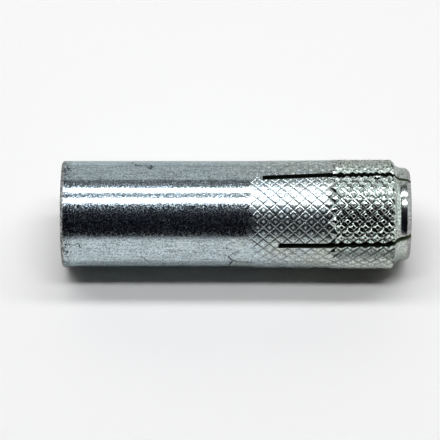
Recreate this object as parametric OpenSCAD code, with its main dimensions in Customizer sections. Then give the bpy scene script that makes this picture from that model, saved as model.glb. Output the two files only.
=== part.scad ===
// Drop-in anchor, M16 x 65: a knurled, slotted steel sleeve with an internal thread and a tapered expander plug.
// It stands on its mouth. The origin is the centre of the mouth face, and +Z runs along the axis to the nose.

/* [Sleeve] */
// Outer diameter of the plain shank
sleeve_d = 20; // [19.6:0.1:24]
// Overall length, mouth face to nose face
sleeve_len = 65; // [63:0.5:75]
// Rounding radius of the outer mouth edge
mouth_round = 0.8; // [0.4:0.1:1.2]
// Width of the chamfer inside the mouth
mouth_chamfer = 1.2; // [0.6:0.1:1.5]
// Minor diameter of the internal thread
thread_minor_d = 13.84; // [13.2:0.02:14.4]
// Length of the threaded stretch, measured from the mouth face
thread_len = 28; // [20:0.5:30]

/* [Plug chamber] */
// Radius by which the smooth chamber behind the thread is narrower than the thread
chamber_step = 0.22; // [0.1:0.02:0.4]
// Length of the tapered stretch of the chamber
taper_len = 16; // [12:0.5:17]
// Diameter of the throat in the nose
throat_d = 9; // [8:0.1:10]
// Length of the throat, measured from the nose face
throat_len = 5; // [4:0.5:7]

/* [Nose] */
// Height of the swaged end, from the end of the knurl to the nose face
swage_len = 2.93; // [2.6:0.01:4]
// Height of the nearly straight band at the tip
band_len = 2; // [1.6:0.05:2.4]
// Radius lost at the wide edge of the swaged cone
cone_drop = 0.58; // [0.5:0.02:0.9]
// Radius lost where the cone meets the band
band_drop = 1.2; // [1:0.02:1.4]
// Radius lost at the tip
tip_drop = 1.5; // [1.42:0.02:1.8]
// Rounding radius of the outer tip edge
tip_round = 0.75; // [0.4:0.05:1]

/* [Knurl] */
// Length of the knurl, measured from the swaged end
knurl_len = 26.97; // [24:0.01:29]
// Length of its fully formed, pointed stretch
deep_len = 12.17; // [9:0.01:16]
// Number of diamonds around the sleeve
knurl_count = 29; // [24:1:34]
// Distance between diamonds along the sleeve
knurl_pitch = 2.23; // [2:0.01:2.6]
// Length by which the first row of diamonds runs under the plain shank
knurl_lead = 0.87; // [0.4:0.01:1.2]
// Angle of the first column of diamonds, seen from the nose
knurl_turn = 1.97; // [0:0.01:6]
// Groove depth in the flat-topped stretch
flat_depth = 0.3; // [0.2:0.02:0.5]
// Half width of its grooves, as a share of the half pitch
flat_groove = 0.34; // [0.26:0.02:0.6]
// Groove depth in the pointed stretch
deep_depth = 0.6; // [0.46:0.02:0.8]
// Height by which the points stand proud of the plain shank
point_rise = 0.24; // [0:0.02:0.4]
// Share of the depth that the crossing grooves keep between two crossings
cross_share = 0.84; // [0.6:0.02:1]

/* [Slots] */
// Width of the saw cuts
slot_w = 1.08; // [0.6:0.02:1.4]
// Direction of the first saw cut, seen from the nose
slot_a_angle = -47.2; // [-60:0.1:-40]
// Depth of the first cut, measured from the nose face
slot_a_len = 27.6; // [22:0.1:30]
// Tilt of the first cut against the axis
slot_a_tilt = 3; // [0:0.1:4]
// Width of the first cut where the nose is swaged
slot_a_nose_w = 0.5; // [0.3:0.02:0.8]
// Distance by which the first cut is bent sideways at the nose face
slot_a_bend = 0.7; // [0:0.1:1.2]
// Direction of the second saw cut, seen from the nose
slot_b_angle = 35.2; // [25:0.1:50]
// Depth of the second cut, measured from the nose face
slot_b_len = 24.7; // [20:0.1:28]
// Tilt of the second cut against the axis
slot_b_tilt = 0.6; // [0:0.1:4]
// Width of the second cut where the nose is swaged
slot_b_nose_w = 0.76; // [0.4:0.02:1]
// Distance by which the second cut is bent sideways at the nose face
slot_b_bend = -0.5; // [-1.2:0.1:0]

/* [Expander plug] */
// Length of the plug's straight body
plug_body_len = 10; // [6:0.5:12]
// Length of the plug's cone
plug_cone_len = 10; // [7:0.5:11]
// Clearance between the plug and the chamber, on the radius
plug_clearance = 0.1; // [0.05:0.01:0.2]
// Chamfer on the plug's two rims
plug_chamfer = 0.6; // [0.3:0.05:1]

/* [Hidden] */
$fn = 144;

sleeve_r = sleeve_d / 2;
thread_r = thread_minor_d / 2;
chamber_r = thread_r - chamber_step;
throat_r = throat_d / 2;
cone_r = sleeve_r - cone_drop;
band_r = sleeve_r - band_drop;
tip_r = sleeve_r - tip_drop;

// Heights above the mouth face
knurl_end = sleeve_len - swage_len;
knurl_start = knurl_end - knurl_len;
deep_start = knurl_end - deep_len;
band_start = sleeve_len - band_len;
taper_end = sleeve_len - throat_len;
taper_start = taper_end - taper_len;

// Depth of the knurled ring's seat under the band, and depth by which the ring is sunk into it
seat_step = 0.05;
seat_bite = 0.15;
seat_r = band_r - seat_step;
ring_inner_r = seat_r - seat_bite;
// Depth by which the ring's last row lies under the swaged cone
ring_cover = 0.04;
// Length by which the ring's last row runs past its seat
ring_overlap = 0.15;
// Drop of the flat-topped stretch below the plain shank
flat_drop = 0.03;
// Length over which the first grooves fade in
fade_len = 2;
// Where the saw cuts start and stop closing up, before and after the end of the knurl
closing_before = 4;
closing_after = 0.35;
// Where the cuts start to bend sideways, before the end of the knurl
bend_before = 1.5;
// Length by which the saw cuts run past the metal
cut_excess = 2;

// Half rows of diamonds along the ring, and half columns around it
ring_start = knurl_start - knurl_lead;
half_rows = round((knurl_end - ring_start) / knurl_pitch * 2);
half_cols = 2 * knurl_count;

// Points of a quarter round between two directions about a centre
function arc(centre, radius, from, to, steps = 6) =
    [for (i = [0:steps]) let (t = from + (to - from) * i / steps)
        [centre[0] + radius * cos(t), centre[1] + radius * sin(t)]];

// Share of the way from one value to another, held between 0 and 1
function share(value, from, to) = min(1, max(0, (value - from) / (to - from)));

// Radius of the taper inside the sleeve at a height
function taper_r(z) = chamber_r + (throat_r - chamber_r) * share(z, taper_start, taper_end);

// Radius of the swaged cone's line at a height, also beyond its ends
function cone_line_r(z) = cone_r + (band_r - cone_r) * (z - knurl_end) / (band_start - knurl_end);

// Height of a half row of the knurl, where the last one always lies at the end of the knurl
function even_row_z(b) = ring_start + b * knurl_pitch / 2;
function row_z(b) =
    let (last = half_rows - 1)
    b <= last ? even_row_z(b) : even_row_z(last) + (b - last) * (knurl_end - even_row_z(last));

// How far the knurl has changed from flat-topped to pointed, and how far it has faded in
function formed(z) = share(z, deep_start - knurl_pitch / 4, deep_start + knurl_pitch / 4);
function faded(z) = share(z, knurl_start - fade_len / 2, knurl_start + fade_len);

// Radius of the crests before the swaged cone cuts them off, and after
function full_crest_r(z) = sleeve_r - flat_drop + (point_rise + flat_drop) * formed(z);
function crest_r(z) = min(full_crest_r(z), cone_line_r(z) - ring_cover);

// Radius of the groove bottoms
function groove_r(z, depth_share) =
    min(cone_line_r(z) - ring_cover,
        full_crest_r(z) - depth_share * faded(z) * (flat_depth + (deep_depth - flat_depth) * formed(z)));

// A point of the knurl from its half column, half row and radius
function knurl_point(a, b, r) =
    let (turn = knurl_turn + a * 360 / half_cols)
    [r * cos(turn), r * sin(turn), row_z(b)];
function crossing(a, b) = knurl_point(a, b, groove_r(row_z(b), 1));
function between(a, b) = knurl_point(a, b, groove_r(row_z(b), cross_share));
function crest(a, b) = knurl_point(a, b, crest_r(row_z(b)));

// Triangles of one diamond about the half column a and the half row b
// Each corner lies on a groove crossing, and two sides bend where the crossing grooves rise
function pointed_diamond(a, b) =
    let (n = crossing(a + 1, b), e = crossing(a, b + 1), s = crossing(a - 1, b), w = crossing(a, b - 1),
         ne = between(a + 0.5, b + 0.5), sw = between(a - 0.5, b - 0.5), top = crest(a, b))
    [[n, ne, top], [ne, e, top], [e, s, top], [s, sw, top], [sw, w, top], [w, n, top]];

function flat_diamond(a, b) =
    let (n = crossing(a + 1, b), e = crossing(a, b + 1), s = crossing(a - 1, b), w = crossing(a, b - 1),
         ne = between(a + 0.5, b + 0.5), sw = between(a - 0.5, b - 0.5), f = 1 - flat_groove,
         tn = crest(a + f, b), te = crest(a, b + f), ts = crest(a - f, b), tw = crest(a, b - f))
    [[tn, te, ts], [tn, ts, tw],
     [n, ne, tn], [ne, te, tn], [ne, e, te],
     [e, ts, te], [e, s, ts],
     [s, sw, ts], [sw, tw, ts], [sw, w, tw],
     [w, tn, tw], [w, n, tn]];

// Half diamonds close the ring's two ends, from each end row's crossings to the next row
function start_half(a) =
    let (n = crossing(a + 1, 0), e = crossing(a, 1), s = crossing(a - 1, 0),
         ne = between(a + 0.5, 0.5), top = crest(a, 0))
    [[n, ne, top], [ne, e, top], [e, s, top]];
function end_half(a) =
    let (b = half_rows, n = crossing(a + 1, b), s = crossing(a - 1, b), w = crossing(a, b - 1),
         sw = between(a - 0.5, b - 0.5), top = crest(a, b))
    [[s, sw, top], [sw, w, top], [w, n, top]];

// The ring's inner wall and its two end faces, one strip for each half column
function ring_back(a) =
    let (i0 = knurl_point(a, 0, ring_inner_r), i1 = knurl_point(a + 1, 0, ring_inner_r),
         j0 = knurl_point(a, half_rows, ring_inner_r), j1 = knurl_point(a + 1, half_rows, ring_inner_r),
         o0 = edge_point(a, 0), o1 = edge_point(a + 1, 0),
         p0 = edge_point(a, half_rows), p1 = edge_point(a + 1, half_rows))
    [[i0, j0, i1], [i1, j0, j1], [o0, i0, i1], [o0, i1, o1], [p0, j1, j0], [p0, p1, j1]];
function edge_point(a, b) = (a + b) % 2 == 0 ? crest(a, b) : crossing(a, b);

// All triangles of the knurled ring
function ring_triangles() = [
    for (b = [1:half_rows - 1], a = [0:half_cols - 1])
        if ((a + b) % 2 == 0)
            each (formed(row_z(b)) > 0.5 ? pointed_diamond(a, b) : flat_diamond(a, b)),
    for (a = [0:2:half_cols - 1]) each start_half(a),
    for (a = [half_rows % 2:2:half_cols - 1]) each end_half(a),
    for (a = [0:half_cols - 1]) each ring_back(a)
];

module knurled_ring() {
    triangles = ring_triangles();
    polyhedron(
        points = [for (t = triangles) each t],
        faces = [for (i = [0:len(triangles) - 1]) [3 * i, 3 * i + 2, 3 * i + 1]]);
}

// The turned and swaged wall, with a seat where the knurled ring is joined on
module turned_body() {
    seat_end = knurl_end - ring_overlap;
    outer = concat(
        arc([sleeve_r - mouth_round, mouth_round], mouth_round, -90, 0),
        [[sleeve_r, knurl_start], [seat_r, knurl_start], [seat_r, seat_end],
         [cone_line_r(seat_end), seat_end], [band_r, band_start]],
        arc([tip_r - tip_round, sleeve_len - tip_round], tip_round, 0, 90));
    inner = [
        [throat_r, sleeve_len], [throat_r, taper_end], [chamber_r, taper_start],
        [chamber_r, thread_len + chamber_step], [thread_r, thread_len],
        [thread_r, mouth_chamfer], [thread_r + mouth_chamfer, 0]];
    rotate_extrude() polygon(concat(outer, inner));
}

// One saw cut through the whole diameter, closed up and bent sideways where the nose is swaged
module saw_cut(angle, depth, tilt, nose_w, bend) {
    start = sleeve_len - depth;
    middle = (start + knurl_end) / 2;
    closing = knurl_end - closing_before;
    closed = knurl_end + closing_after;
    bend_from = knurl_end - bend_before;
    heights = [start, closing, bend_from, closed, sleeve_len + cut_excess];
    half = [for (z = heights) (slot_w + (nose_w - slot_w) * share(z, closing, closed)) / 2];
    side = [for (z = heights) bend * max(0, z - bend_from) / (sleeve_len - bend_from)];
    steps = [0:len(heights) - 1];
    rotate([0, 0, angle])
        translate([0, 0, middle])
            rotate([tilt, 0, 0])
                rotate([90, 0, 90])
                    linear_extrude(height = sleeve_d + 2 * cut_excess, center = true)
                        translate([0, -middle])
                            polygon(concat(
                                [for (i = steps) [side[i] + half[i], heights[i]]],
                                [for (i = steps) let (j = len(heights) - 1 - i) [side[j] - half[j], heights[j]]]));
}

module sleeve() {
    color([0.66, 0.69, 0.70])
        difference() {
            union() {
                turned_body();
                knurled_ring();
            }
            saw_cut(slot_a_angle, slot_a_len, slot_a_tilt, slot_a_nose_w, slot_a_bend);
            saw_cut(slot_b_angle, slot_b_len, slot_b_tilt, slot_b_nose_w, slot_b_bend);
        }
}

// The plug sits where the chamber starts to taper, with its own cone along the sleeve's
module expander_plug() {
    back = taper_start - plug_body_len;
    tip = taper_start + plug_cone_len;
    body_r = chamber_r - plug_clearance;
    color([0.60, 0.62, 0.63])
        rotate_extrude()
            polygon([
                [0, back], [body_r - plug_chamfer, back], [body_r, back + plug_chamfer],
                [body_r, taper_start],
                [taper_r(tip - plug_chamfer) - plug_clearance, tip - plug_chamfer],
                [taper_r(tip) - plug_clearance - plug_chamfer, tip], [0, tip]]);
}

sleeve();
expander_plug();
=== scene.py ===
import math
import bpy
from mathutils import Matrix, Vector


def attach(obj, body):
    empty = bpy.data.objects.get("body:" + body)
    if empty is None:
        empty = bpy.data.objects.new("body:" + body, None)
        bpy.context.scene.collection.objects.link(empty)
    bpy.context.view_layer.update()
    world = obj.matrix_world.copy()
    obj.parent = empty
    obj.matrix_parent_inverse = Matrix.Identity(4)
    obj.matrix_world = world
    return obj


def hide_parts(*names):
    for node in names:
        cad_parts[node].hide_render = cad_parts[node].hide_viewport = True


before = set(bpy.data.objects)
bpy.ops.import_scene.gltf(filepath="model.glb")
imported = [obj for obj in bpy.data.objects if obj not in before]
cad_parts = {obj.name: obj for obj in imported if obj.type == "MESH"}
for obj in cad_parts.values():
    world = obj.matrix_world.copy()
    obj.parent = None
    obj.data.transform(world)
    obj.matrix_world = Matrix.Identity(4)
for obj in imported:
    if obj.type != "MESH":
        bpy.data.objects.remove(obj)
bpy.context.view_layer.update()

mm = 0.001
weld = 0.002 * mm  # points closer than this are merged where a sheet closes on itself
scene = bpy.context.scene
scene.view_settings.view_transform = "Standard"


# Small helpers for node trees

def plug(tree, value, socket):
    if isinstance(value, bpy.types.NodeSocket):
        tree.links.new(value, socket)
    else:
        socket.default_value = value


def addNode(tree, kind, inputs=None, **settings):
    node = tree.nodes.new(kind)
    for name, value in settings.items():
        setattr(node, name, value)
    for key, value in (inputs or {}).items():
        plug(tree, value, node.inputs[key])
    return node


def calc(tree, operation, *values, clamp=False):
    node = addNode(tree, "ShaderNodeMath", operation=operation, use_clamp=clamp)
    for socket, value in zip(node.inputs, values):
        plug(tree, value, socket)
    return node.outputs[0]


def plus(tree, a, b):
    return calc(tree, "ADD", a, b)


def minus(tree, a, b):
    return calc(tree, "SUBTRACT", a, b)


def times(tree, first, *others):
    for value in others:
        first = calc(tree, "MULTIPLY", first, value)
    return first


def vectorCalc(tree, operation, *values):
    node = addNode(tree, "ShaderNodeVectorMath", operation=operation)
    for socket, value in zip(node.inputs, values):
        plug(tree, value, socket)
    isNumber = operation in ("DOT_PRODUCT", "DISTANCE", "LENGTH")
    return node.outputs["Value" if isNumber else "Vector"]


def scaled(tree, vector, share):
    return addNode(tree, "ShaderNodeVectorMath", {0: vector, "Scale": share}, operation="SCALE").outputs[0]


def joinXyz(tree, x, y, z):
    return addNode(tree, "ShaderNodeCombineXYZ", {"X": x, "Y": y, "Z": z}).outputs[0]


def splitXyz(tree, vector):
    return addNode(tree, "ShaderNodeSeparateXYZ", {0: vector}).outputs


def aroundAxis(tree, angle, radius, height):
    return joinXyz(tree, times(tree, calc(tree, "COSINE", angle), radius),
                   times(tree, calc(tree, "SINE", angle), radius), height)


def between(tree, value, low, high, smooth=True):
    node = addNode(tree, "ShaderNodeMapRange", {"Value": value, "From Min": low, "From Max": high})
    node.interpolation_type = "SMOOTHSTEP" if smooth else "LINEAR"
    return node.outputs["Result"]


def blendValues(tree, share, a, b):
    node = addNode(tree, "ShaderNodeMix", data_type="FLOAT")
    plug(tree, share, node.inputs[0])
    plug(tree, a, node.inputs[2])
    plug(tree, b, node.inputs[3])
    return node.outputs[0]


def blendColours(tree, share, a, b):
    node = addNode(tree, "ShaderNodeMix", data_type="RGBA")
    plug(tree, share, node.inputs[0])
    for value, socket in ((a, node.inputs[6]), (b, node.inputs[7])):
        plug(tree, (*value, 1) if isinstance(value, tuple) else value, socket)
    return node.outputs[2]


def shapeCurve(tree, value, points):
    node = addNode(tree, "ShaderNodeFloatCurve", {"Value": value})
    curve = node.mapping.curves[0]
    for i, (x, y) in enumerate(points):
        if i < 2:
            curve.points[i].location = (x, y)
        else:
            curve.points.new(x, y)
    for point in curve.points:
        point.handle_type = "VECTOR"
    node.mapping.update()
    return node.outputs[0]


def noise(tree, vector, scale, detail, roughness, seed=0.0):
    return addNode(tree, "ShaderNodeTexNoise", {
        "Vector": vector, "W": seed, "Scale": scale, "Detail": detail, "Roughness": roughness},
        noise_dimensions="4D").outputs[0]


def readAttribute(tree, name):
    return addNode(tree, "ShaderNodeAttribute", attribute_name=name).outputs["Fac"]


def bumped(tree, height, distance):
    return addNode(tree, "ShaderNodeBump", {
        "Strength": 1.0, "Distance": distance, "Height": height}).outputs[0]


def newMaterial(name):
    material = bpy.data.materials.new(name)
    material.use_nodes = True
    material.node_tree.nodes.clear()
    return material, material.node_tree


# Camera: looks along -X, with the mouth to the left

cameraSet = {"distance": 0.536, "alongAxis": 0.02954, "across": 0.00109, "halfWidth": 0.04128}

cameraData = bpy.data.cameras.new("camera")
cameraData.angle = 2 * math.atan(cameraSet["halfWidth"] / cameraSet["distance"])
camera = bpy.data.objects.new("camera", cameraData)
camera.matrix_world = Matrix((
    (0, 0, 1, cameraSet["distance"]),
    (0, -1, 0, cameraSet["across"]),
    (1, 0, 0, cameraSet["alongAxis"]),
    (0, 0, 0, 1)))
scene.collection.objects.link(camera)
scene.camera = camera
print("camera placed")


# Studio: the anchor lies on a pale table, seen from 52 degrees above it

studio = {
    "tilt": 52, "floorDrop": 10.25 * mm, "floorHalf": 1.0,
    "floorColour": (0.985, 0.957, 0.903), "floorBounced": 0.45,
    "worldColour": (0.64, 0.65, 0.645), "worldEnds": (1.03, 1.13, 1.13), "endsRange": (0.72, 0.78),
    "worldFill": 0.04, "backFill": 1.0, "backRange": (0.45, 0.65),
    "stripDistance": 0.62, "stripColour": (0.955, 0.985, 1.06),
    "strips": ((81.0, 6.9, 0.56, 12.9), (104.2, 8.4, 1.1, 8.2)),  # angle, spread, length, radiance
    "endPanels": (97.0, 34.0, 0.73, 0.26, 1.3),  # angle, spread, shift, length, radiance
    "endCentre": 0.09, "endColour": (1.0, 1.0, 0.98),
    "darkFrom": 3.6, "darkTo": 73, "darkDistance": 0.56, "darkLength": 1.2,
    "darkColour": (0.012, 0.011, 0.018),
    "frontFrom": -1.0, "frontColour": (0.5, 0.5, 0.5),
    "ceilingFrom": 74, "ceilingTo": 131, "ceilingDistance": 0.72, "ceilingLength": 0.56,
    "ceilingColour": (0.52, 0.53, 0.54), "sideLength": 0.46,
}
tilt = math.radians(studio["tilt"])
floorUp = Vector((math.sin(tilt), -math.cos(tilt), 0))
floorAcross = Vector((math.cos(tilt), math.sin(tilt), 0))
centre = Vector((0, 0, cameraSet["alongAxis"]))


def towards(angle):  # in degrees above the table, on the camera's side
    t = math.radians(angle)
    return floorAcross * math.cos(t) + floorUp * math.sin(t)


def board(name, middle, facing, width, length, material):
    along = Vector((0, 0, 1))
    across = along.cross(facing).normalized()
    corners = [middle + across * width / 2 * i + along * length / 2 * j
               for i, j in ((-1, -1), (1, -1), (1, 1), (-1, 1))]
    mesh = bpy.data.meshes.new(name)
    mesh.from_pydata(corners, [], [(0, 1, 2, 3)])
    mesh.update()
    if mesh.polygons[0].normal.dot(facing) < 0:
        mesh.flip_normals()
    mesh.materials.append(material)
    made = bpy.data.objects.new(name, mesh)
    scene.collection.objects.link(made)
    return made


def mattePaint(name, colour, oneSided=False, bounced=1.0):
    material, tree = newMaterial(name)
    paint = addNode(tree, "ShaderNodeBsdfDiffuse", {"Color": (*colour, 1)})
    if bounced < 1:  # a second bounce keeps less light, so the shadow under the anchor stays deep
        second = calc(tree, "MINIMUM", addNode(tree, "ShaderNodeLightPath").outputs["Diffuse Depth"], 1.0)
        dimmed = tuple(c * bounced for c in colour)
        plug(tree, blendColours(tree, second, colour, dimmed), paint.inputs["Color"])
    paint = paint.outputs[0]
    if oneSided:
        back = addNode(tree, "ShaderNodeNewGeometry").outputs["Backfacing"]
        clear = addNode(tree, "ShaderNodeBsdfTransparent").outputs[0]
        paint = addNode(tree, "ShaderNodeMixShader", {0: back, 1: paint, 2: clear}).outputs[0]
    addNode(tree, "ShaderNodeOutputMaterial", {"Surface": paint})
    return material


def card(name, start, end, distance, length, colour, shift=0):
    direction = towards((start + end) / 2)
    width = 2 * distance * math.tan(math.radians((end - start) / 2))
    middle = centre + direction * distance + Vector((0, 0, shift))
    made = board(name, middle, -direction, width, length, mattePaint(name + "Paint", colour))
    made.visible_camera = False


def lightPanel(name, angle, spread, shift, length, radiance, colour):
    width = 2 * studio["stripDistance"] * math.tan(math.radians(spread / 2))
    lamp = bpy.data.lights.new(name, "AREA")
    lamp.shape = "RECTANGLE"
    lamp.size, lamp.size_y = width, length
    lamp.energy = radiance * math.pi * width * length
    lamp.color = colour
    panel = bpy.data.objects.new(name, lamp)
    back, along = towards(angle), Vector((0, 0, 1))
    turned = Matrix((along.cross(back), along, back)).transposed().to_4x4()
    panel.matrix_world = Matrix.Translation(centre + back * studio["stripDistance"] + along * shift) @ turned
    panel.visible_camera = False
    scene.collection.objects.link(panel)


def surroundings():  # pale wherever they are seen or mirrored, and a low fill light otherwise
    world = bpy.data.worlds.new("world")
    world.use_nodes = True
    scene.world = world
    tree = world.node_tree
    rays = addNode(tree, "ShaderNodeLightPath").outputs
    shown = calc(tree, "MAXIMUM", rays["Is Glossy Ray"], rays["Is Transmission Ray"])
    shown = calc(tree, "MAXIMUM", rays["Is Camera Ray"], shown)
    direction = addNode(tree, "ShaderNodeTexCoord").outputs["Generated"]
    ends = calc(tree, "ABSOLUTE", splitXyz(tree, direction)[2])
    ends = between(tree, ends, *studio["endsRange"])
    behind = between(tree, vectorCalc(tree, "DOT_PRODUCT", direction, -floorAcross), *studio["backRange"])
    behind = times(tree, minus(tree, 1.0, ends), behind)
    fill = blendValues(tree, behind, studio["worldFill"], studio["backFill"])
    background = tree.nodes["Background"].inputs
    plug(tree, blendColours(tree, ends, studio["worldColour"], studio["worldEnds"]), background["Color"])
    plug(tree, blendValues(tree, shown, fill, 1.0), background["Strength"])


board("floor", centre - floorUp * studio["floorDrop"], floorUp,
      2 * studio["floorHalf"], 2 * studio["floorHalf"],
      mattePaint("tablePaint", studio["floorColour"], True, studio["floorBounced"]))
card("darkCard", studio["darkFrom"], studio["darkTo"], studio["darkDistance"], studio["darkLength"],
     studio["darkColour"])
card("ceilingCard", studio["ceilingFrom"], studio["ceilingTo"], studio["ceilingDistance"],
     studio["ceilingLength"], studio["ceilingColour"])
card("frontCard", studio["frontFrom"], studio["darkFrom"], studio["darkDistance"], studio["darkLength"],
     studio["frontColour"])
for side in (-1, 1):
    shift = side * (studio["ceilingLength"] + studio["sideLength"]) / 2
    card("sideCard%d" % side, studio["ceilingFrom"], studio["ceilingTo"], studio["ceilingDistance"],
         studio["sideLength"], studio["darkColour"], shift)
for number, (angle, spread, length, radiance) in enumerate(studio["strips"]):
    lightPanel("strip%d" % number, angle, spread, 0, length, radiance, studio["stripColour"])
for side in (-1, 1):
    angle, spread, shift, length, radiance = studio["endPanels"]
    lightPanel("endPanel%d" % side, angle, spread, studio["endCentre"] + side * shift, length, radiance,
               studio["endColour"])
surroundings()
print("studio built")


# Zinc plate. Each range says where something starts and where it is complete

zinc = {
    "colour": (0.46, 0.545, 0.58), "grazingTint": (0.62, 0.66, 0.66),
    "stainColour": (0.49, 0.53, 0.49), "stainSize": 5.0 * mm, "stainRise": 70 * mm,
    "stainRange": (0.75, 1.35),
    "grainSize": 0.2 * mm, "grainHeight": 0.004 * mm, "glossScale": 0.9, "glossRange": (0.44, 0.63),
    "smoothRoughness": 0.105, "roughRoughness": 0.295,
    "rolledRange": (0.02, 0.10), "unrolledRange": (0.74, 0.58),
    "rolledRoughness": 0.27, "pointedRoughness": 0.10,
    "middleRange": (0.60, 0.78), "middleRoughness": 0.52, "middleHighlight": 1.4,
    "fleckSize": 0.28 * mm, "fleckRange": (0.42, 0.58), "fleckDark": 0.58, "fleckPale": 1.30,
    "streakSize": 0.35 * mm, "streakSquash": 0.12, "streakShare": 0.30,
    "dirtShadeRange": (0.35, 0.95), "dirtShadeShare": 0.75,
    "mouthRim": (0.75 * mm, 0.45 * mm), "noseRim": (64.12 * mm, 64.24 * mm),
    "rimColour": (0.40, 0.39, 0.385), "rimRoughness": 0.38,
    "noseRange": (61.9 * mm, 62.3 * mm), "noseRoughness": 0.17,

    # marks lie at a height along the axis and a distance round the shank, in mm
    "scratches": (  # both ends, half width, strength
        (31.12, 9.02, 31.68, 10.18, 0.16, 0.95), (31.68, 10.18, 32.61, 10.75, 0.15, 0.90),
        (32.61, 10.75, 35.22, 11.17, 0.13, 0.75), (35.22, 11.17, 36.88, 10.67, 0.12, 0.65),
        (31.72, 10.75, 31.22, 12.45, 0.18, 0.95), (30.93, 8.87, 27.78, 8.02, 0.10, 0.50),
        (26.29, 10.07, 28.15, 9.93, 0.12, 0.75), (31.49, 8.49, 33.33, 7.36, 0.10, 0.55),
        (14.98, 9.02, 16.60, 11.40, 0.11, 0.75), (13.1, 8.9, 14.6, 9.0, 0.10, 0.45)),
    "smudges": (  # middle, half sizes, strength
        (13.04, -12.45, 0.60, 0.70, 0.95), (14.18, -11.58, 0.66, 0.56, 0.95),
        (15.49, -11.35, 0.62, 0.40, 0.90), (16.62, -10.71, 0.48, 0.78, 0.95),
        (1.23, -9.62, 0.66, 1.28, 0.85), (1.14, 7.24, 0.85, 1.83, 0.6),
        (3.39, 6.28, 0.66, 0.57, 0.75), (30.74, 6.99, 0.56, 0.50, 0.45)),
    "scratchEdge": (1.4, 0.4), "smudgeEdge": (1.4, 0.7), "smudgeGain": 1.3,  # edges in half widths
    "wobble": 0.16, "wobbleSize": 0.5,
    "speckSize": 0.34, "speckRange": (0.46, 0.58), "mouthRange": (2.4, 0.6), "mouthStrength": 0.75,
}


def scratchMasks(tree, spot):
    outer, inner = zinc["scratchEdge"]
    found = 0.0
    for z0, v0, z1, v1, half, strength in zinc["scratches"]:
        way = Vector((z1 - z0, v1 - v0, 0))
        away = vectorCalc(tree, "SUBTRACT", spot, (z0, v0, 0))
        share = vectorCalc(tree, "DOT_PRODUCT", away, way)
        share = calc(tree, "MULTIPLY", share, 1 / way.length_squared, clamp=True)
        gap = vectorCalc(tree, "DISTANCE", away, scaled(tree, way, share))
        mask = times(tree, between(tree, gap, half * outer, half * inner), strength)
        found = calc(tree, "MAXIMUM", found, mask)
    return found


def smudgeMasks(tree, spot, specks):
    found = 0.0
    for z, v, halfLong, halfWide, strength in zinc["smudges"]:
        away = vectorCalc(tree, "SUBTRACT", spot, (z, v, 0))
        away = vectorCalc(tree, "MULTIPLY", away, (1 / halfLong, 1 / halfWide, 0))
        gap = between(tree, vectorCalc(tree, "LENGTH", away), *zinc["smudgeEdge"])
        found = calc(tree, "MAXIMUM", found, times(tree, gap, strength * zinc["smudgeGain"]))
    return times(tree, found, specks)


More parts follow.
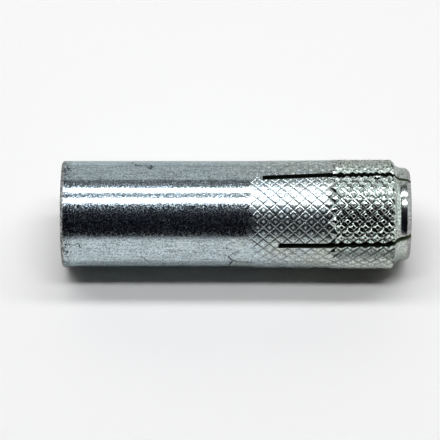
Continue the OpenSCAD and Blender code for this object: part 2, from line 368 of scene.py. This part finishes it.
def zincPlate(radius):
    material, tree = newMaterial("zincPlate")
    place = addNode(tree, "ShaderNodeTexCoord").outputs["Object"]
    xyz = splitXyz(tree, place)
    along = xyz[2]

    # smooth and rough grains, with the knurl rolled to one gloss and left rough in the diamonds' middles
    middle, pointed = readAttribute(tree, "spot"), readAttribute(tree, "pointed")
    rough = noise(tree, place, zinc["glossScale"] / zinc["grainSize"], 1.0, 0.5, 3.0)
    rough = between(tree, rough, *zinc["glossRange"])
    roughness = blendValues(tree, rough, zinc["smoothRoughness"], zinc["roughRoughness"])
    rolled = times(tree, between(tree, middle, *zinc["rolledRange"]),
                   between(tree, middle, *zinc["unrolledRange"]))
    gloss = blendValues(tree, pointed, zinc["rolledRoughness"], zinc["pointedRoughness"])
    roughness = blendValues(tree, rolled, roughness, gloss)
    inMiddle = between(tree, middle, *zinc["middleRange"])
    roughness = blendValues(tree, inMiddle, roughness, zinc["middleRoughness"])
    grain = noise(tree, place, 1 / zinc["grainSize"], 2.5, 0.6)

    # flecks, faint streaks along the axis, stains that grow warmer towards the knurl, and dirt with painted
    # shade in its grooves
    drawn = vectorCalc(tree, "MULTIPLY", place, (1, 1, zinc["streakSquash"]))
    streaks = noise(tree, drawn, 1 / zinc["streakSize"], 2.0, 0.6, 4.0)
    toneScale = noise(tree, place, 1 / zinc["fleckSize"], 1.5, 0.7, 5.0)
    toneScale = between(tree, blendValues(tree, zinc["streakShare"], toneScale, streaks), *zinc["fleckRange"])
    toneScale = blendValues(tree, toneScale, zinc["fleckDark"], zinc["fleckPale"])
    # painted highlight: the diamonds' rough middles are painted paler
    toneScale = times(tree, toneScale, blendValues(tree, inMiddle, 1.0, zinc["middleHighlight"]))
    stained = noise(tree, place, 1 / zinc["stainSize"], 3.0, 0.6, 9.0)
    stained = plus(tree, stained, between(tree, along, 0.0, zinc["stainRise"], False))
    stained = between(tree, stained, *zinc["stainRange"])
    colour = blendColours(tree, stained, zinc["colour"], zinc["stainColour"])
    # the grooves' dirt and painted shade darken the colour
    dirt = between(tree, readAttribute(tree, "dirt"), *zinc["dirtShadeRange"])
    toneScale = times(tree, toneScale, minus(tree, 1.0, times(tree, dirt, zinc["dirtShadeShare"])))

    # scratches, smudges, and specks near the mouth
    wobble = minus(tree, noise(tree, place, 1 / (zinc["wobbleSize"] * mm), 2.0, 0.6, 11.0), 0.5)
    wobble = times(tree, wobble, zinc["wobble"] * 2)
    around = times(tree, calc(tree, "ARCTAN2", xyz[1], xyz[0]), radius)
    spot = joinXyz(tree, times(tree, along, 1 / mm), plus(tree, wobble, around), 0.0)
    specks = noise(tree, place, 1 / (zinc["speckSize"] * mm), 1.0, 0.5, 13.0)
    specks = between(tree, specks, *zinc["speckRange"])
    nearMouth = between(tree, along, *(height * mm for height in zinc["mouthRange"]))
    marked = calc(tree, "MAXIMUM", scratchMasks(tree, spot), smudgeMasks(tree, spot, specks))
    marked = calc(tree, "MAXIMUM", times(tree, specks, zinc["mouthStrength"], nearMouth), marked)
    toneScale = times(tree, toneScale, minus(tree, 1.0, marked))

    # the rims are worn to a warmer grey, and the nose has one even gloss
    worn = [between(tree, along, *zinc[rim]) for rim in ("mouthRim", "noseRim")]
    worn = calc(tree, "MAXIMUM", worn[0], worn[1])
    colour = blendColours(tree, worn, colour, zinc["rimColour"])
    roughness = blendValues(tree, worn, roughness, zinc["rimRoughness"])
    onNose = times(tree, between(tree, along, *zinc["noseRange"]), minus(tree, 1.0, worn))
    roughness = blendValues(tree, onNose, roughness, zinc["noseRoughness"])
    shader = addNode(tree, "ShaderNodeBsdfPrincipled", {
        "Base Color": scaled(tree, colour, toneScale), "Metallic": 1.0, "Roughness": roughness,
        "Specular Tint": (*zinc["grazingTint"], 1), "Normal": bumped(tree, grain, zinc["grainHeight"])})
    addNode(tree, "ShaderNodeOutputMaterial", {"Surface": shader.outputs[0]})
    return material


# Steel without the bright plate: the bore, the saw cuts and the plug

steels = {
    "patchScale": 600, "darkPatch": 0.7, "palePatch": 1.25,
    "boreColour": (0.36, 0.40, 0.41), "boreRoughness": 0.34,
    "turnedColour": (0.46, 0.45, 0.43), "turnedRoughness": 0.26,
    "ringSize": 0.06 * mm, "ringHeight": 0.003 * mm,
    # the saw-cut walls' near black is painted shade
    "sawnShadeColour": (0.05, 0.06, 0.04), "sawnRoughness": 0.6,
    "openRange": (61.2 * mm, 62.6 * mm), "openColour": (0.15, 0.19, 0.10), "openMetallic": 0.2,
}


def bareSteel(name, colour, roughness, ringSize=0):
    material, tree = newMaterial(name)
    place = addNode(tree, "ShaderNodeTexCoord").outputs["Object"]
    patches = noise(tree, place, steels["patchScale"], 3.0, 0.6, 2.0)
    dark = tuple(c * steels["darkPatch"] for c in colour)
    pale = tuple(min(1, c * steels["palePatch"]) for c in colour)
    shader = addNode(tree, "ShaderNodeBsdfPrincipled", {
        "Base Color": blendColours(tree, patches, dark, pale), "Metallic": 1.0, "Roughness": roughness})
    if ringSize:  # turning marks run round the axis
        xyz = splitXyz(tree, place)
        out = plus(tree, times(tree, xyz[0], xyz[0]), times(tree, xyz[1], xyz[1]))
        rings = joinXyz(tree, calc(tree, "SQRT", out), 0.0, xyz[2])
        rings = noise(tree, rings, 1 / ringSize, 2.0, 0.5, 6.0)
        plug(tree, bumped(tree, rings, steels["ringHeight"]), shader.inputs["Normal"])
    addNode(tree, "ShaderNodeOutputMaterial", {"Surface": shader.outputs[0]})
    return material


def sawnSteel():
    # painted shade: the saw-cut walls are painted near black deep in the cuts, and paler near the nose, where
    # light reaches them
    material = bareSteel("sawnSteel", steels["sawnShadeColour"], steels["sawnRoughness"])
    tree = material.node_tree
    shader = next(node for node in tree.nodes if node.type == "BSDF_PRINCIPLED")
    along = splitXyz(tree, addNode(tree, "ShaderNodeTexCoord").outputs["Object"])[2]
    nearNose = between(tree, along, *steels["openRange"])  # light reaches the walls there
    deep = shader.inputs["Base Color"].links[0].from_socket
    plug(tree, blendColours(tree, nearNose, deep, steels["openColour"]), shader.inputs["Base Color"])
    plug(tree, blendValues(tree, nearNose, 1.0, steels["openMetallic"]), shader.inputs["Metallic"])
    return material


slotMaterial = sawnSteel()
boreMaterial = bareSteel("boreZinc", steels["boreColour"], steels["boreRoughness"])
plugMaterial = bareSteel("turnedSteel", steels["turnedColour"], steels["turnedRoughness"], steels["ringSize"])
print("steel materials made")


# Sleeve: a turned profile with a knurl, made by a node tree. Sizes are in mm

sleeve = {
    "radius": 10.0, "length": 65.0, "mouthRound": 0.6, "mouthSteps": 7, "shankRows": (1.2, 10, 20, 30, 33.4),
    "nose": (
        (9.51, 62.09), (9.25, 62.28), (9.10, 62.48), (8.97, 62.68), (8.86, 62.88), (8.79, 63.05),
        (8.75, 63.25), (8.71, 63.8), (8.685, 64.12), (8.66, 64.22), (8.57, 64.34), (8.17, 64.84),
        (8.02, 64.95), (7.75, 65.0)),
    "throat": 4.5, "throatEdge": ((6.5, 65.0), (4.75, 65.0), (4.58, 64.93)),
    "taperEnd": 60.0, "taperMiddle": (5.6, 52.0), "taperStart": 44.0, "chamber": 6.7, "chamberRow": 36.0,
    "threadEnd": 28.0, "threadMajor": 8.0, "relief": 1.3, "boreRows": (20.0, 10.0, 0.25),
    "coneRadius": 9.75, "coneSlope": 1.35, "coneSoftness": 0.06,
    "wallFacing": 0.2, "boreFacing": -0.5, "endMargins": (0.05, 64.99), "sharpAngle": 38,

    # the knurl, whose diamonds are flat at first and pointed towards the nose
    "diamonds": 29, "steps": 6, "halfRows": 25, "firstRow": 34.21, "lastRow": 61.94,
    "turn": 1.97, "seed": 7.0,
    "fadeFrom": 34.1, "fadeLength": 2.4, "pointedFrom": 50.1, "pointedBlend": 1.7,
    "wanderScale": 0.9, "wander": 4.0, "pointedWander": 0.35, "fadeWander": 0.8,
    "flatDepth": 0.10, "flatDrop": 0.02, "flatRise": 0.16, "pointedDepth": 0.50, "pointRise": 0.233,
    "softness": 0.03, "unevenness": 0.03, "pointedSpot": 0.55,

    # curves over a diamond's rise, from a groove's bottom, 0, to the diamond's middle, 1
    "gatherFlat": (
        (0, 0), (0.1667, 0.04), (0.3333, 0.11), (0.5, 0.16), (0.6667, 0.38), (0.8333, 0.66), (1, 1)),
    "gatherPointed": (
        (0, 0), (0.1667, 0.06), (0.3333, 0.33), (0.5, 0.58), (0.6667, 0.64), (0.8333, 0.68), (1, 1)),
    "flatShape": ((0, 0), (0.04, 0.16), (0.11, 0.70), (0.16, 0.86), (0.60, 0.97), (1, 1)),
    "pointShapes": (
        ((0, 0), (0.06, 0.005), (0.58, 0.925), (0.64, 0.985), (0.68, 1), (1, 1)),
        ((0, 0), (0.06, 0.040), (0.58, 0.925), (0.64, 0.985), (0.68, 1), (1, 1))),

    # the share of its depth that a groove keeps, on flat and on pointed diamonds, where it falls or rises to
    # the right, low or high on the camera's side
    "fallingLow": (1.0, 0.85), "fallingHigh": (0.80, 1.0),
    "risingLow": (0.82, 1.0), "risingHigh": (0.66, 0.92), "risingTop": (0.50, 0.90),
    "highTurn": 0.44, "highRange": (0.45, 0.70), "topTurn": 1.0, "topRange": (0.55, 0.82),

    # where the grooves get dirt and painted shade, as the sine of the angle below the camera's line; the
    # lower side, and a band on the pointed knurl, get painted shade
    "shadedFrom": 0.55, "shadedAfter": 0.15, "unshadedAfter": (0.20, 0.35), "bandShade": 0.76,
    "topDirtShadeRange": (-0.85, -0.45), "topDirtShadeShare": 0.2,

    # a small burr beside the upper saw cut
    "burrHeight": 58.7, "burrAngle": -44.5, "burrTop": 0.35, "burrSlope": 1.6, "burrEdge": (0.72, 0.60),
    "burrSquash": 0.6,

    # saw cuts: angle, depth, tilt, width and sideways bend at the nose, and the bend's length before it
    "sawCuts": ((-45.8, 27.6, 2.8, 0.60, 0.58, 6.0), (35.2, 24.7, 0.6, 0.92, -0.70, 1.6)),
    "sawWidth": 1.08, "closingBefore": 2.2, "closingAfter": 0.45, "bladePast": 2, "bladeHalf": 12,
}


def roundCorner(middle, radius, start, end, steps):
    found = []
    for i in range(steps + 1):
        t = math.radians(start + (end - start) * i / steps)
        found.append((middle[0] + radius * math.cos(t), middle[1] + radius * math.sin(t)))
    return found


def sleeveProfile():  # radius, height, and which half row of the knurl it is
    s = sleeve
    corner = (s["radius"] - s["mouthRound"], s["mouthRound"])
    rows = [(r, z, 0.0) for r, z in roundCorner(corner, s["mouthRound"], -90, 0, s["mouthSteps"])]
    rows += [(s["radius"], z, 0.0) for z in s["shankRows"]]
    count = s["halfRows"] * s["steps"]
    step = (s["lastRow"] - s["firstRow"]) / count
    rows += [(s["radius"], s["firstRow"] + i * step, i / s["steps"]) for i in range(count + 1)]
    inside = [
        (s["throat"], 64.75), (s["throat"], s["taperEnd"] + 0.1), (s["throat"] + 0.03, s["taperEnd"] - 0.2),
        s["taperMiddle"], (s["chamber"] - 0.02, s["taperStart"] + 0.1), (s["chamber"], s["taperStart"] - 0.1),
        (s["chamber"], s["chamberRow"]), (s["chamber"], s["threadEnd"] + s["relief"]),
        (s["threadMajor"] - 0.1, s["threadEnd"] + 0.1), (s["threadMajor"], s["threadEnd"] - 0.1)]
    inside += [(s["threadMajor"], z) for z in s["boreRows"]]
    inside += [(s["threadMajor"] + 0.14, 0.03), (s["threadMajor"] + 0.3, 0.0)]
    return rows + [(r, z, s["halfRows"]) for r, z in (*s["nose"], *s["throatEdge"], *inside)]


def nodeGroup(name, sockets):
    tree = bpy.data.node_groups.new(name, "GeometryNodeTree")
    tree.interface.new_socket("Geometry", in_out="OUTPUT", socket_type="NodeSocketGeometry")
    tree.interface.new_socket("Geometry", in_out="INPUT", socket_type="NodeSocketGeometry")
    for label, value in sockets:
        kind = {int: "NodeSocketInt", float: "NodeSocketFloat"}.get(type(value))
        if kind is None:
            kind = "NodeSocketMaterial" if isinstance(value, bpy.types.Material) else "NodeSocketObject"
        tree.interface.new_socket(label, in_out="INPUT", socket_type=kind)
    return tree, tree.nodes.new("NodeGroupInput").outputs, tree.nodes.new("NodeGroupOutput").inputs


def applyTree(piece, tree, sockets):
    modifier = piece.modifiers.new(tree.name, "NODES")
    modifier.node_group = tree
    known = {item.name: item.identifier for item in tree.interface.items_tree if item.in_out == "INPUT"}
    for label, value in sockets:
        modifier[known[label]] = value
    bpy.context.view_layer.update()
    seen = piece.evaluated_get(bpy.context.evaluated_depsgraph_get())
    made = bpy.data.meshes.new_from_object(seen)
    piece.modifiers.clear()
    old = piece.data
    piece.data = made
    bpy.data.meshes.remove(old)
    made.name = piece.name
    return piece


def rowMesh(name, rows):
    mesh = bpy.data.meshes.new(name)
    mesh.from_pydata([(r, 0, z) for r, z, b in rows], [(i, i + 1) for i in range(len(rows) - 1)], [])
    halfRow = mesh.attributes.new("halfRow", "FLOAT", "POINT")
    halfRow.data.foreach_set("value", [b for r, z, b in rows])
    piece = bpy.data.objects.new(name, mesh)
    scene.collection.objects.link(piece)
    return piece


def pointCount(tree, rows):
    return addNode(tree, "GeometryNodeAttributeDomainSize", {0: rows}, component="MESH").outputs[0]


def flatSheet(tree, width, height, columns, rows):
    return addNode(tree, "GeometryNodeMeshGrid", {
        "Size X": width, "Size Y": height,
        "Vertices X": plus(tree, columns, 1.0), "Vertices Y": plus(tree, rows, 1.0)}).outputs[0]


def movePoints(tree, body, how, amount):
    return addNode(tree, "GeometryNodeSetPosition", {0: body, how: amount}).outputs[0]


def closeSheet(tree, body, target):  # the sheet takes its round shape, and its borders are merged
    body = movePoints(tree, body, "Position", scaled(tree, target, mm))
    return addNode(tree, "GeometryNodeMergeByDistance", {"Geometry": body, "Distance": weld}).outputs[0]


def giveMaterial(tree, body, material, chosen=True):
    return addNode(tree, "GeometryNodeSetMaterial", {
        0: body, "Selection": chosen, "Material": material}).outputs[0]


def sampleRow(tree, rows, value, index, kind):
    return addNode(tree, "GeometryNodeSampleIndex", {0: rows, "Value": value, "Index": index},
                   data_type=kind).outputs[0]


def diamondAngle(tree, g, a):
    return plus(tree, g["Turn"], calc(tree, "DIVIDE", times(tree, a, math.pi), g["Diamonds around"]))


def grooveKept(tree, angle, pointed):
    high = plus(tree, angle, sleeve["highTurn"])
    high = between(tree, calc(tree, "COSINE", high), *sleeve["highRange"])
    top = plus(tree, angle, sleeve["topTurn"])
    top = between(tree, calc(tree, "COSINE", top), *sleeve["topRange"])
    kept = {}
    for name in ("fallingLow", "fallingHigh", "risingLow", "risingHigh", "risingTop"):
        kept[name] = blendValues(tree, pointed, *sleeve[name])
    falling = blendValues(tree, high, kept["fallingLow"], kept["fallingHigh"])
    rising = blendValues(tree, high, kept["risingLow"], kept["risingHigh"])
    return falling, blendValues(tree, top, rising, kept["risingTop"])


def burrCrown(tree, g, crown, angle, radius, height):
    beside = times(tree, minus(tree, angle, g["Burr angle"]), radius)
    beyond = times(tree, minus(tree, height, g["Burr height"]), sleeve["burrSquash"])
    away = plus(tree, calc(tree, "POWER", beside, 2.0), calc(tree, "POWER", beyond, 2.0))
    away = calc(tree, "SQRT", away)
    fall = times(tree, sleeve["burrSlope"], calc(tree, "MAXIMUM", 0.0, minus(tree, away, sleeve["burrTop"])))
    raised = minus(tree, g["Point rise"], fall)
    return blendValues(tree, between(tree, away, *sleeve["burrEdge"]), crown, raised)


# the grooves are darkened with dirt and painted shade: on the flat knurl all round but least at the top, on
# the pointed knurl only on the lower side
def grooveDirtAndShade(tree, g, angle, groove, pointed, onPointed):
    below = calc(tree, "SINE", angle)
    lowerSide = between(tree, below, g["Dirty from"], plus(tree, g["Dirty from"], sleeve["shadedAfter"]))
    topDirtShade = calc(tree, "MAXIMUM", sleeve["topDirtShadeShare"], between(tree, below, *sleeve["topDirtShadeRange"]))
    dirt = times(tree, groove, blendValues(tree, pointed, topDirtShade, lowerSide))
    unshaded = between(tree, below, *(plus(tree, g["Dirty from"], after) for after in sleeve["unshadedAfter"]))
    # painted shade: a band on the lower side of the pointed knurl is darkened all over
    bandShade = times(tree, minus(tree, lowerSide, unshaded), onPointed)
    return calc(tree, "MAXIMUM", dirt, times(tree, bandShade, sleeve["bandShade"]))


def cutAndPlate(tree, g, body, here):
    cutters = addNode(tree, "GeometryNodeObjectInfo", {"Object": g["Saw cuts"]}).outputs["Geometry"]
    body = addNode(tree, "GeometryNodeMeshBoolean", {"Mesh 1": body, "Mesh 2": cutters},
                   operation="DIFFERENCE", solver="MANIFOLD").outputs[0]
    body = addNode(tree, "GeometryNodeRealizeInstances", {0: body}).outputs[0]
    body = giveMaterial(tree, body, g["Plate"])

    # saw-cut walls and the inside get the steel painted with shade, and what faces the axis the bore's
    outwards = vectorCalc(tree, "NORMALIZE", vectorCalc(tree, "MULTIPLY", here, (1, 1, 0)))
    facing = vectorCalc(tree, "DOT_PRODUCT", addNode(tree, "GeometryNodeInputNormal").outputs[0], outwards)
    height = splitXyz(tree, here)[2]
    low, high = sleeve["endMargins"]
    offEnds = times(tree, calc(tree, "GREATER_THAN", height, low * mm),
                    calc(tree, "LESS_THAN", height, high * mm))
    wall = times(tree, calc(tree, "LESS_THAN", facing, sleeve["wallFacing"]), offEnds)
    body = giveMaterial(tree, body, g["Bare steel"], wall)
    inward = calc(tree, "LESS_THAN", facing, sleeve["boreFacing"])
    return giveMaterial(tree, body, g["Bore"], inward)


def knurlTree(sockets):
    tree, g, result = nodeGroup("knurledSleeve", sockets)
    steps, diamonds = g["Steps per half diamond"], g["Diamonds around"]
    here = addNode(tree, "GeometryNodeInputPosition").outputs[0]

    # a flat sheet with a row for each point of the profile, whose columns go round the axis
    rowCount = pointCount(tree, g["Geometry"])
    columnCount = times(tree, steps, 2.0, diamonds)
    sheet = flatSheet(tree, columnCount, rowCount, columnCount, rowCount)
    flat = splitXyz(tree, here)
    column = calc(tree, "ROUND", plus(tree, flat[0], times(tree, columnCount, 0.5)))
    row = calc(tree, "ROUND", plus(tree, flat[1], times(tree, rowCount, 0.5)))
    row = calc(tree, "FLOORED_MODULO", row, rowCount)
    profile = splitXyz(tree, sampleRow(tree, g["Geometry"], here, row, "FLOAT_VECTOR"))
    radius, height = profile[0], profile[2]
    halfRow = addNode(tree, "GeometryNodeInputNamedAttribute", {0: "halfRow"}).outputs[0]
    b = sampleRow(tree, g["Geometry"], halfRow, row, "FLOAT")

    # a counts half diamonds round and b along. Grooves lie where a - b is odd, and where a + b is
    a = calc(tree, "DIVIDE", column, steps)
    angle = diamondAngle(tree, g, a)
    place = aroundAxis(tree, angle, radius, height)
    crossed = (minus(tree, a, b), plus(tree, a, b))
    across = [calc(tree, "WRAP", value, 1.0, -1.0) for value in crossed]
    rise = [minus(tree, 1.0, calc(tree, "ABSOLUTE", value)) for value in across]
    cell = [calc(tree, "ROUND", calc(tree, "DIVIDE", value, 2.0)) for value in crossed]
    cell = [calc(tree, "FLOORED_MODULO", value, diamonds) for value in cell]
    cell = joinXyz(tree, cell[0], cell[1], g["Seed"])
    chance = splitXyz(tree, addNode(
        tree, "ShaderNodeTexWhiteNoise", {"Vector": cell}, noise_dimensions="3D").outputs["Color"])
    wander = noise(tree, place, sleeve["wanderScale"], 2.0, 0.6, 1.0)
    wander = times(tree, minus(tree, wander, 0.5), sleeve["wander"])

    # only the outside between the knurl's first and last rows, with a small margin at each
    onKnurl = times(tree, calc(tree, "GREATER_THAN", radius, sleeve["radius"] - 0.1),
                    calc(tree, "LESS_THAN", height, plus(tree, g["Cone height"], 0.01)),
                    calc(tree, "GREATER_THAN", b, 0.001))

    # how far the knurl has become pointed, and how far it has faded in
    pointed = between(tree, plus(tree, height, times(tree, wander, sleeve["pointedWander"])),
                      minus(tree, g["Pointed from"], g["Pointed blend"]),
                      plus(tree, g["Pointed from"], g["Pointed blend"]))
    faded = between(tree, plus(tree, height, times(tree, wander, sleeve["fadeWander"])),
                    g["Fade from"], plus(tree, g["Fade from"], g["Fade length"]))
    onPointed = times(tree, pointed, onKnurl)

    # edges move towards the grooves, where the shape bends most, but not in the knurl's two end rows
    lift = times(tree, calc(tree, "MINIMUM", rise[0], rise[1]), onKnurl, times(tree, steps, 0.5))
    toEnd = calc(tree, "MINIMUM", b, minus(tree, g["Half rows"], b))
    inKnurl = calc(tree, "MULTIPLY", onKnurl, times(tree, 2.0, toEnd), clamp=True)
    moved = []
    for i, value in enumerate(rise):
        gathered = blendValues(tree, pointed, shapeCurve(tree, value, sleeve["gatherFlat"]),
                               shapeCurve(tree, value, sleeve["gatherPointed"]))
        gathered = blendValues(tree, inKnurl, value, gathered)
        moved.append(times(tree, calc(tree, "SIGN", across[i]), minus(tree, value, gathered)))
        rise[i] = gathered
    a = plus(tree, a, calc(tree, "DIVIDE", plus(tree, moved[0], moved[1]), 2.0))
    upwards = calc(tree, "DIVIDE", minus(tree, moved[1], moved[0]), 2.0)
    height = plus(tree, height, times(tree, upwards, g["Half row height"]))
    angle = diamondAngle(tree, g, a)

    # the share of the diamond's height that is reached here
    shares = []
    for value, keep, pointShape in zip(rise, grooveKept(tree, angle, pointed), sleeve["pointShapes"]):
        share = blendValues(tree, pointed, shapeCurve(tree, value, sleeve["flatShape"]),
                            shapeCurve(tree, value, pointShape))
        shares.append(minus(tree, 1.0, times(tree, minus(tree, 1.0, share), keep)))
    share = calc(tree, "SMOOTH_MIN", shares[0], shares[1], g["Softness"])
    share = calc(tree, "MINIMUM", share, 1.0)
    lacking = minus(tree, 1.0, share)

    # the crown over the plain shank, with single diamonds leaning a little
    depth = times(tree, faded, blendValues(tree, pointed, g["Flat depth"], g["Pointed depth"]))
    lean = plus(tree, times(tree, across[0], minus(tree, chance[0], 0.5)),
                times(tree, across[1], minus(tree, chance[1], 0.5)))
    lean = times(tree, lean, share, times(tree, faded, g["Unevenness"]))
    raised = times(tree, g["Flat rise"], between(tree, height, g["Fade from"], g["Pointed from"], False))
    raised = minus(tree, raised, g["Flat drop"])
    crown = minus(tree, blendValues(tree, pointed, raised, g["Point rise"]), times(tree, lacking, depth))
    crown = plus(tree, times(tree, crown, faded), lean)
    crown = burrCrown(tree, g, crown, angle, radius, height)
    cone = times(tree, minus(tree, height, g["Cone height"]), g["Cone slope"])
    cone = minus(tree, g["Cone radius"], cone)
    knurled = calc(tree, "SMOOTH_MIN", plus(tree, radius, crown), cone, sleeve["coneSoftness"])
    target = aroundAxis(tree, angle, blendValues(tree, onKnurl, radius, knurled), height)

    # what the zinc reads: dirt and painted shade in the grooves, the diamonds' middles, and where the knurl
    # is pointed
    groove = times(tree, lacking, faded, onKnurl)
    middle = times(tree, calc(tree, "MINIMUM", rise[0], rise[1]), times(tree, faded, onKnurl))
    middle = times(tree, middle, blendValues(tree, pointed, 1.0, sleeve["pointedSpot"]))
    dirt = grooveDirtAndShade(tree, g, angle, groove, pointed, onPointed)

    # lifting the flat sheet into pyramids first makes the shorter diagonals run along the grooves
    body = movePoints(tree, sheet, "Offset", joinXyz(tree, 0.0, 0.0, lift))
    body = addNode(tree, "GeometryNodeTriangulate", {0: body}, quad_method="SHORTEST_DIAGONAL").outputs[0]
    for label, value in (("dirt", dirt), ("spot", middle), ("pointed", onPointed)):
        body = addNode(tree, "GeometryNodeStoreNamedAttribute", {0: body, "Name": label, "Value": value},
                       data_type="FLOAT", domain="POINT").outputs[0]
    body = closeSheet(tree, body, target)
    tree.links.new(cutAndPlate(tree, g, body, here), result[0])
    return tree


def bladeStations(start, noseWidth, bend, bendBefore):  # a blade's width and middle at each height
    full, last = sleeve["sawWidth"], sleeve["lastRow"]
    bendFrom = last - bendBefore
    stations = []
    for z in sorted((start, last - sleeve["closingBefore"], bendFrom, last + sleeve["closingAfter"],
                     sleeve["length"] + sleeve["bladePast"])):
        closed = (z - last + sleeve["closingBefore"]) / (sleeve["closingBefore"] + sleeve["closingAfter"])
        width = full + (noseWidth - full) * min(1, max(0, closed))
        stations.append((width, bend * max(0, z - bendFrom) / (sleeve["length"] - bendFrom), z))
    return stations


def sawBlades():
    points, faces = [], []
    for angle, depth, lean, noseWidth, bend, bendBefore in sleeve["sawCuts"]:
        start = sleeve["length"] - depth
        halfway = (start + sleeve["lastRow"]) / 2
        stations = bladeStations(start, noseWidth, bend, bendBefore)
        outline = [(2 * side - width, z) for width, side, z in reversed(stations)]
        outline += [(2 * side + width, z) for width, side, z in stations]
        turn = Matrix.Rotation(math.radians(angle), 4, "Z") @ Matrix.Translation((0, 0, halfway)) @ \
            Matrix.Rotation(math.radians(lean), 4, "X")
        first, n = len(points), len(outline)
        for x in (-sleeve["bladeHalf"], sleeve["bladeHalf"]):
            points += [(turn @ Vector((x, w / 2, z - halfway))) * mm for w, z in outline]
        faces.append([first + i for i in reversed(range(n))])
        faces.append([first + n + i for i in range(n)])
        faces += [(first + i, first + (i + 1) % n, first + n + (i + 1) % n, first + n + i) for i in range(n)]
    mesh = bpy.data.meshes.new("sawBlades")
    mesh.from_pydata(points, [], faces)
    mesh.update()
    made = bpy.data.objects.new("sawBlades", mesh)
    scene.collection.objects.link(made)
    return made


blades = sawBlades()
zincMaterial = zincPlate(sleeve["radius"])
knurlSockets = [
    ("Diamonds around", sleeve["diamonds"]), ("Steps per half diamond", sleeve["steps"]),
    ("Turn", math.radians(sleeve["turn"])), ("Half rows", float(sleeve["halfRows"])),
    ("Half row height", (sleeve["lastRow"] - sleeve["firstRow"]) / sleeve["halfRows"]),
    ("Pointed from", sleeve["pointedFrom"]), ("Pointed blend", sleeve["pointedBlend"]),
    ("Fade from", sleeve["fadeFrom"]), ("Fade length", sleeve["fadeLength"]),
    ("Flat depth", sleeve["flatDepth"]), ("Flat drop", sleeve["flatDrop"]), ("Flat rise", sleeve["flatRise"]),
    ("Pointed depth", sleeve["pointedDepth"]), ("Point rise", sleeve["pointRise"]),
    ("Unevenness", sleeve["unevenness"]), ("Softness", sleeve["softness"]), ("Seed", sleeve["seed"]),
    ("Cone radius", sleeve["coneRadius"]), ("Cone slope", sleeve["coneSlope"]),
    ("Cone height", sleeve["lastRow"]), ("Dirty from", sleeve["shadedFrom"]),
    ("Burr height", sleeve["burrHeight"]), ("Burr angle", math.radians(sleeve["burrAngle"] + 360)),
    ("Saw cuts", blades), ("Plate", zincMaterial), ("Bare steel", slotMaterial), ("Bore", boreMaterial)]
shell = applyTree(rowMesh("knurledShell", sleeveProfile()), knurlTree(knurlSockets), knurlSockets)
bpy.data.objects.remove(blades)
shell.data.shade_smooth()
shell.data.set_sharp_from_angle(angle=math.radians(sleeve["sharpAngle"]))
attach(shell, "root")
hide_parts("sleeve")
print("sleeve:", len(shell.data.polygons), "faces")


# Internal thread: one ridge wound up the bore, with a section that grows and fades at its two ends

thread = {
    "rootRadius": 8.06, "crestRadius": 6.92, "rootHalf": 0.93, "crestHalf": 0.13,
    "pitch": 2.0, "start": 0.5, "turns": 13.4, "stepsPerTurn": 72, "runOut": 0.3, "mouthChamfer": 8.12,
}


def threadTree(sockets):
    tree, g, result = nodeGroup("internalThread", sockets)
    here = addNode(tree, "GeometryNodeInputPosition").outputs[0]
    corners = pointCount(tree, g["Geometry"])
    stepCount = calc(tree, "ROUND", times(tree, g["Turns"], g["Steps per turn"]))
    sheet = flatSheet(tree, 1.0, 1.0, stepCount, corners)
    flat = splitXyz(tree, here)
    turn = times(tree, plus(tree, flat[0], 0.5), g["Turns"])
    corner = calc(tree, "ROUND", times(tree, plus(tree, flat[1], 0.5), corners))
    corner = calc(tree, "FLOORED_MODULO", corner, corners)
    section = splitXyz(tree, sampleRow(tree, g["Geometry"], here, corner, "FLOAT_VECTOR"))
    fromEnd = calc(tree, "MINIMUM", turn, minus(tree, g["Turns"], turn))
    full = calc(tree, "DIVIDE", fromEnd, g["Run-out"], clamp=True)
    height = plus(tree, g["Start"], times(tree, turn, g["Pitch"]))
    height = plus(tree, height, times(tree, section[2], full))
    radius = blendValues(tree, full, g["Root radius"], section[0])
    opened = calc(tree, "MINIMUM", g["Root radius"], minus(tree, g["Mouth chamfer"], height))
    radius = calc(tree, "MAXIMUM", radius, opened)
    target = aroundAxis(tree, times(tree, turn, 2 * math.pi), radius, height)
    body = closeSheet(tree, sheet, target)
    body = addNode(tree, "GeometryNodeFlipFaces", {0: body}).outputs[0]
    body = addNode(tree, "GeometryNodeRealizeInstances", {0: body}).outputs[0]
    tree.links.new(giveMaterial(tree, body, g["Plate"]), result[0])
    return tree


threadSection = [
    (thread["rootRadius"], -thread["rootHalf"], 0.0), (thread["crestRadius"], -thread["crestHalf"], 0.0),
    (thread["crestRadius"], thread["crestHalf"], 0.0), (thread["rootRadius"], thread["rootHalf"], 0.0)]
threadSockets = [
    ("Turns", thread["turns"]), ("Steps per turn", thread["stepsPerTurn"]), ("Pitch", thread["pitch"]),
    ("Start", thread["start"]), ("Run-out", thread["runOut"]), ("Root radius", thread["rootRadius"]),
    ("Mouth chamfer", thread["mouthChamfer"]), ("Plate", boreMaterial)]
ridge = applyTree(rowMesh("threadRidge", threadSection), threadTree(threadSockets), threadSockets)
print("thread:", len(ridge.data.polygons), "faces")
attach(ridge, "root")
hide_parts("sleeve")


# Expander plug: the CAD node's own shape, in turned steel

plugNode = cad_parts["expander_plug"]
plugNode.data.materials.clear()
plugNode.data.materials.append(plugMaterial)
print("plug finished")
